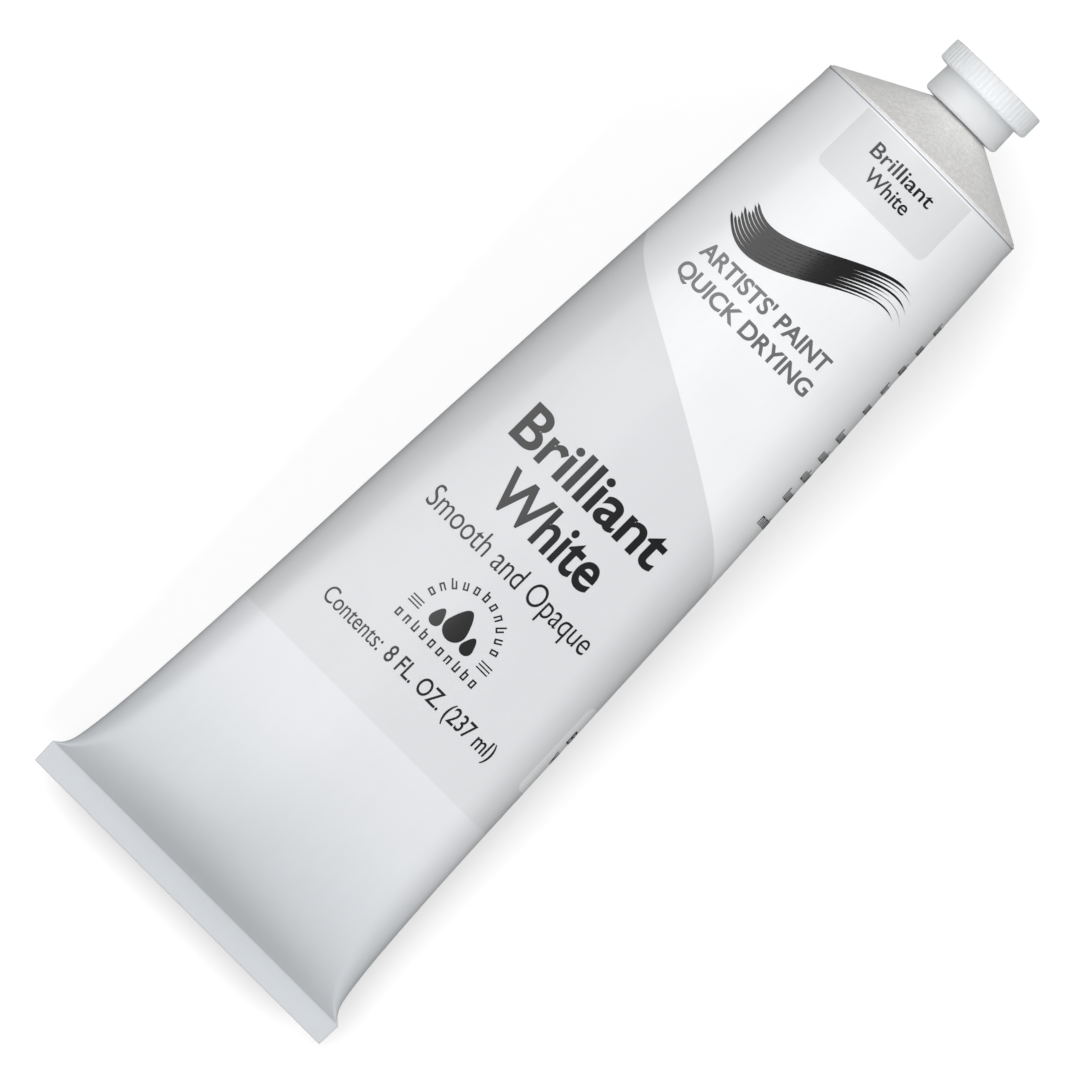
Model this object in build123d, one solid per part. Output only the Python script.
"""A collapsible laminate tube of artists' paint, with a screw cap.

The tube is designed in its own frame and then laid down to rest:
  local Z  the tube's axis, towards the cap, with Z = 0 at the front end of the sleeve
  local X  across the flat tail
  local Y  through the tube's thickness, towards the printed front
At rest the tube lies on its back with its nose slightly up. Row +X points towards the cap, +Z up,
and the origin is on the table, in the middle of the tube's footprint. Millimetres.
"""
from build123d import *
import os
from math import atan, atan2, cos, exp, pi, sin, tan

# Driving dimensions -----------------------------------------------------------------------------
TUBE_RADIUS = 25.0            # nominal 50 mm laminate tube
WALL = 0.4                    # thickness of the laminate
STRAIGHT_LENGTH = 3.0         # round stretch of the sleeve that is welded to the shoulder
SEAL_DISTANCE = 197.7         # front end of the sleeve to the top of the sealed strip
SEAL_LENGTH = 5.1             # height of the flat sealed strip
SEAL_END_HALF_WIDTH = 38.65   # the strip narrows a little towards its cut end

WIDENING = 0.0648             # half-width gained per millimetre behind the straight stretch
WIDENING_FALL = 0.0000792     # how that gain falls off, per millimetre squared
FLARE = 2.0                   # long, gentle flare towards the seal
FLARE_LENGTH = 15.0
EAR = 2.2                     # short flare that makes the two corners of the strip
EAR_LENGTH = 1.4
THINNING = 0.08               # half-thickness lost per millimetre behind the straight stretch
PINCH_LENGTH = 7.0            # over about twice this length the sleeve closes down to the seal
SECTION_COUNT = 30            # cross-sections that the sleeve is built through
BACK_FLATTENING = 0.003       # depth of the flat that the filled tube lies on, per millimetre back
FLATTEST_CROWN = 0.02         # the crown of each cross-section is found between these two
ROUNDEST_CROWN = 1.2
CROWN_STEP = 0.0001

CONE_RISE = 9.5               # height of the shoulder cone above the sleeve's front end
CONE_TOP_RADIUS = 7.3
SHOULDER_LIP = 0.3            # the cone starts this far above the sleeve's cut edge
SHOULDER_WALL = 1.6
BARRIER_WALL = 0.3

NECK_CORE_RADIUS = 6.2
NECK_TOP = 18.1
NECK_FOOT_SLOPE = 0.5         # rise of the neck's foot per millimetre towards the axis
NOZZLE_RADIUS = 4.5
THREAD_PITCH = 3.0
THREAD_HEIGHT = 1.0           # radial height of the thread on the neck
THREAD_ROOT = 1.6             # axial width of a thread where it leaves its wall
THREAD_CREST = 0.7            # axial width of a thread at its tip
THREAD_START = 11.4           # middle of the neck's thread at its lower end
THREAD_TURNS = 1.75
CAP_THREAD_TURNS = 1.2
THREAD_GAP = 0.2              # from the cap's thread to the neck's core
THREAD_EMBED = 0.2            # how far a thread's root reaches into its own wall

CAP_BOTTOM = 9.9
CAP_TOP = 20.8
CAP_FLANGE_RADIUS = 11.25
CAP_FLANGE_HEIGHT = 4.9
CAP_SKIRT_TOP_RADIUS = 9.05
CAP_SKIRT_BOTTOM_RADIUS = 9.3
CAP_BORE_RADIUS = 7.45
CAP_PLATE = 1.7               # thickness of the cap's top
CAP_TOP_ROUND = 0.35
CAP_FLANGE_ROUND = 0.8
CAP_SKIRT_ROUND = 0.9
RIB_COUNT = 60
RIB_GROOVE_RADIUS = 0.34
RIB_GROOVE_DEPTH = 0.22
RIB_CUT_PAST = 1.0            # how far the cut for a groove runs past the cap's top

LINER_RADIUS = 7.25
LINER_THICKNESS = 0.96
FACE_GAP = 0.02               # gap between faces of different bodies that meet

PAINT_GAP = 0.05              # between the paint and the walls around it
PAINT_VOLUME = 237000.0       # 8 US fluid ounces
PAINT_LEVEL_STEP = 0.1
BLOCK = 500.0                 # side of a block that is larger than the tube every way

# Sizes worked out from them ---------------------------------------------------------------------
PERIMETER = 2 * pi * TUBE_RADIUS
SEAL_HALF_THICKNESS = WALL    # two walls sealed face to face
TAPER_LENGTH = SEAL_DISTANCE - STRAIGHT_LENGTH
PINCH = TUBE_RADIUS - THINNING * TAPER_LENGTH - SEAL_HALF_THICKNESS
LAY_ANGLE = atan(THINNING + BACK_FLATTENING)
UP = (0, cos(LAY_ANGLE), sin(LAY_ANGLE))
CAP_THREAD_START = THREAD_START + THREAD_PITCH / 2
CONE_RADIUS = TUBE_RADIUS - WALL
CONE_ANGLE = atan((CONE_RISE - SHOULDER_LIP) / (CONE_RADIUS - CONE_TOP_RADIUS))


def half_width(distance):
    """Half-width of the sleeve at a distance behind its front end."""
    run = max(distance - STRAIGHT_LENGTH, 0)
    to_seal = SEAL_DISTANCE - distance
    flare = FLARE * exp(-to_seal / FLARE_LENGTH) + EAR * exp(-to_seal / EAR_LENGTH)
    return TUBE_RADIUS + WIDENING * run - WIDENING_FALL * run**2 + flare


def half_thickness(distance):
    """Half-thickness of the sleeve at a distance behind its front end."""
    run = max(distance - STRAIGHT_LENGTH, 0)
    to_seal = SEAL_DISTANCE - distance
    return TUBE_RADIUS - THINNING * run - PINCH * exp(-to_seal / PINCH_LENGTH)


def oval_arcs(width, thickness, crown):
    """Side radius, crown radius and side half-angle of a four-arc oval with these half sizes.

    Crown 0 would have flat faces between round sides, and crown 1 is nearly an ellipse.
    """
    side = thickness * (1 - crown * (1 - thickness / width))
    top = ((width - side) ** 2 + thickness**2 - side**2) / (2 * (thickness - side))
    return side, top, atan2(top - thickness, width - side)


def sleeve_arcs(distance):
    """The oval at a distance, with the crown that keeps the sleeve's perimeter the same."""
    width = half_width(distance)
    thickness = half_thickness(distance)
    too_flat = FLATTEST_CROWN
    too_round = ROUNDEST_CROWN
    while too_round - too_flat > CROWN_STEP:
        crown = (too_flat + too_round) / 2
        side, top, angle = oval_arcs(width, thickness, crown)
        if 4 * (side * angle + top * (pi / 2 - angle)) > PERIMETER:
            too_flat = crown
        else:
            too_round = crown
    return side, top, angle


def oval_face(distance, inset):
    """Cross-section of the sleeve, moved inwards by inset, as four tangent arcs."""
    if distance <= STRAIGHT_LENGTH:
        side_centre = top_centre = 0
        side = top = TUBE_RADIUS
        angle = pi / 4
    else:
        side, top, angle = sleeve_arcs(distance)
        side_centre = half_width(distance) - side
        top_centre = top - half_thickness(distance)
    side -= inset
    top -= inset
    x = side_centre + side * cos(angle)
    y = side * sin(angle)
    widest = side_centre + side
    thickest = top - top_centre
    arcs = [
        ThreePointArc((x, -y), (widest, 0), (x, y)),
        ThreePointArc((x, y), (0, thickest), (-x, y)),
        ThreePointArc((-x, y), (-widest, 0), (-x, -y)),
        ThreePointArc((-x, -y), (0, -thickest), (x, -y)),
    ]
    return Plane.XY.offset(-distance) * make_face(Wire(arcs))


def beyond(point, direction):
    """Everything on one side of the plane through a point, as a block."""
    block = Box(BLOCK, BLOCK, BLOCK, align=(Align.CENTER, Align.CENTER, Align.MIN))
    return Plane(origin=point, z_dir=direction).location * block


def sleeve_solid(inset, stations):
    """Solid through the cross-sections at the given distances, with the flat that it lies on."""
    solid = loft([oval_face(distance, inset) for distance in stations], ruled=True)
    lowest = Vector(0, -TUBE_RADIUS, -STRAIGHT_LENGTH) + inset * Vector(*UP)
    return solid & beyond(lowest, UP)


def revolved(points):
    """Solid of revolution about Z, from (radius, height) corners of half its section."""
    outline = make_face(Polyline([(radius, 0, height) for radius, height in points], close=True))
    return revolve(outline, Axis.Z)


def thread(radius, height, start, turns, embed):
    """Right-hand trapezoid thread on a wall of that radius; a negative height points inwards."""
    side = 1 if height > 0 else -1
    helix = Helix(THREAD_PITCH, turns * THREAD_PITCH, radius, center=(0, 0, start))
    root = radius - side * embed
    crest = radius + height
    section = Polyline(
        [
            (root, 0, start - THREAD_ROOT / 2),
            (crest, 0, start - THREAD_CREST / 2),
            (crest, 0, start + THREAD_CREST / 2),
            (root, 0, start + THREAD_ROOT / 2),
        ],
        close=True,
    )
    return sweep(make_face(section), path=helix, is_frenet=True)


# Sleeve -----------------------------------------------------------------------------------------
def section_distance(index):
    """Distances of the cross-sections, closer together towards the seal."""
    return SEAL_DISTANCE - TAPER_LENGTH * (1 - index / SECTION_COUNT) ** 2


BODY_STATIONS = [section_distance(index) for index in range(SECTION_COUNT)]


def make_sleeve():
    at_front = (Align.CENTER, Align.CENTER, Align.MAX)
    straight = Cylinder(TUBE_RADIUS, STRAIGHT_LENGTH, align=at_front)
    straight_bore = Cylinder(TUBE_RADIUS - WALL, STRAIGHT_LENGTH, align=at_front)
    body = sleeve_solid(0, BODY_STATIONS + [SEAL_DISTANCE])
    cavity = sleeve_solid(WALL, BODY_STATIONS)
    top_half_width = half_width(SEAL_DISTANCE)
    strip_outline = Polyline(
        [
            (-top_half_width, -SEAL_DISTANCE),
            (top_half_width, -SEAL_DISTANCE),
            (SEAL_END_HALF_WIDTH, -SEAL_DISTANCE - SEAL_LENGTH),
            (-SEAL_END_HALF_WIDTH, -SEAL_DISTANCE - SEAL_LENGTH),
        ],
        close=True,
    )
    strip = extrude(Plane.XZ * make_face(strip_outline), SEAL_HALF_THICKNESS, both=True)
    return straight + body + strip - straight_bore - cavity


# Shoulder and neck, barrier insert --------------------------------------------------------------
def cone_height(radius, depth):
    """Height of the cone's surface at a radius, measured depth below the outer face."""
    return CONE_RISE - (radius - CONE_TOP_RADIUS) * tan(CONE_ANGLE) - depth / cos(CONE_ANGLE)


def make_shoulder_neck():
    inner_rim = CONE_RADIUS - SHOULDER_WALL
    neck_foot = CONE_RISE + (CONE_TOP_RADIUS - NECK_CORE_RADIUS) * NECK_FOOT_SLOPE
    shell = revolved(
        [
            (CONE_RADIUS, -STRAIGHT_LENGTH),
            (CONE_RADIUS, SHOULDER_LIP),
            (CONE_TOP_RADIUS, CONE_RISE),
            (NECK_CORE_RADIUS, neck_foot),
            (NECK_CORE_RADIUS, NECK_TOP),
            (NOZZLE_RADIUS, NECK_TOP),
            (NOZZLE_RADIUS, cone_height(NOZZLE_RADIUS, SHOULDER_WALL)),
            (inner_rim, cone_height(inner_rim, SHOULDER_WALL)),
            (inner_rim, -STRAIGHT_LENGTH),
        ]
    )
    return shell + thread(NECK_CORE_RADIUS, THREAD_HEIGHT, THREAD_START, THREAD_TURNS, THREAD_EMBED)


def make_barrier_insert():
    inner_rim = CONE_RADIUS - SHOULDER_WALL
    depth = SHOULDER_WALL + BARRIER_WALL
    return revolved(
        [
            (NOZZLE_RADIUS, cone_height(NOZZLE_RADIUS, SHOULDER_WALL)),
            (inner_rim, cone_height(inner_rim, SHOULDER_WALL)),
            (inner_rim, cone_height(inner_rim, depth)),
            (NOZZLE_RADIUS, cone_height(NOZZLE_RADIUS, depth)),
        ]
    )


# Cap and liner ----------------------------------------------------------------------------------
def outer_edge(cap, radius):
    """The lowest of the cap's round edges with that radius."""
    circles = cap.edges().filter_by(GeomType.CIRCLE)
    return circles.filter_by(lambda edge: edge.radius == radius).sort_by(Axis.Z)[0]


def make_cap():
    flange_bottom = CAP_TOP - CAP_FLANGE_HEIGHT
    with BuildPart() as cap:
        with BuildSketch(Plane.XZ):
            with BuildLine():
                Polyline(
                    [
                        (0, CAP_TOP),
                        (CAP_FLANGE_RADIUS, CAP_TOP),
                        (CAP_FLANGE_RADIUS, flange_bottom),
                        (CAP_SKIRT_TOP_RADIUS, flange_bottom),
                        (CAP_SKIRT_BOTTOM_RADIUS, CAP_BOTTOM),
                        (CAP_BORE_RADIUS, CAP_BOTTOM),
                        (CAP_BORE_RADIUS, CAP_TOP - CAP_PLATE),
                        (0, CAP_TOP - CAP_PLATE),
                    ],
                    close=True,
                )
            make_face()
        revolve(axis=Axis.Z)
        top_edge = cap.edges().filter_by(GeomType.CIRCLE).group_by(Axis.Z)[-1]
        fillet(top_edge, CAP_TOP_ROUND)
        fillet(outer_edge(cap, CAP_FLANGE_RADIUS), CAP_FLANGE_ROUND)
        fillet(outer_edge(cap, CAP_SKIRT_BOTTOM_RADIUS), CAP_SKIRT_ROUND)
        with BuildSketch(Plane.XY.offset(flange_bottom)):
            groove_circle = CAP_FLANGE_RADIUS + RIB_GROOVE_RADIUS - RIB_GROOVE_DEPTH
            with PolarLocations(groove_circle, RIB_COUNT):
                Circle(RIB_GROOVE_RADIUS)
        extrude(amount=CAP_FLANGE_HEIGHT + RIB_CUT_PAST, mode=Mode.SUBTRACT)
    ridge_height = NECK_CORE_RADIUS + THREAD_GAP - CAP_BORE_RADIUS
    ridge = thread(CAP_BORE_RADIUS, ridge_height, CAP_THREAD_START, CAP_THREAD_TURNS, THREAD_EMBED)
    return cap.part + ridge


def make_cap_liner():
    disc = Cylinder(LINER_RADIUS, LINER_THICKNESS, align=(Align.CENTER, Align.CENTER, Align.MIN))
    return Pos(0, 0, NECK_TOP + FACE_GAP) * disc


# Paint ------------------------------------------------------------------------------------------
def make_paint():
    """Paint from the shoulder back to the level that gives the labelled volume; air behind it."""
    inset = WALL + PAINT_GAP
    depth = SHOULDER_WALL + BARRIER_WALL + PAINT_GAP
    inner_rim = CONE_RADIUS - SHOULDER_WALL - PAINT_GAP
    front = revolved(
        [
            (0, -STRAIGHT_LENGTH - PAINT_GAP),
            (inner_rim, -STRAIGHT_LENGTH - PAINT_GAP),
            (inner_rim, cone_height(inner_rim, depth)),
            (NOZZLE_RADIUS, cone_height(NOZZLE_RADIUS, depth)),
            (0, cone_height(NOZZLE_RADIUS, depth)),
        ]
    )
    behind_shoulder = beyond((0, 0, -STRAIGHT_LENGTH - PAINT_GAP), (0, 0, -1))
    room = sleeve_solid(inset, BODY_STATIONS) & behind_shoulder
    wanted = PAINT_VOLUME - front.volume
    near = STRAIGHT_LENGTH
    far = SEAL_DISTANCE
    while far - near > PAINT_LEVEL_STEP:
        level = (near + far) / 2
        filling = room & beyond((0, 0, -level), (0, 0, 1))
        if filling.volume > wanted:
            far = level
        else:
            near = level
    return front + filling


# Assembly ---------------------------------------------------------------------------------------
def main():
    parts = {
        "sleeve": make_sleeve(),
        "shoulder_neck": make_shoulder_neck(),
        "barrier_insert": make_barrier_insert(),
        "cap": make_cap(),
        "cap_liner": make_cap_liner(),
        "paint": make_paint(),
    }
    axis = (cos(LAY_ANGLE), 0, sin(LAY_ANGLE))
    lying = Plane(origin=(0, 0, 0), x_dir=(0, 1, 0), z_dir=axis).location
    laid = {name: lying * part for name, part in parts.items()}
    box = Compound(list(laid.values())).bounding_box()
    front = (-box.center().X, -box.center().Y, -box.min.Z)
    os.makedirs("parts", exist_ok=True)
    for name, part in laid.items():
        export_step(Pos(*front) * part, f"parts/{name}.step")
    print("front end of the sleeve, on the tube's axis:", front)
    print("direction of the tube's axis:", axis)
    print("size:", tuple(box.size))


main()
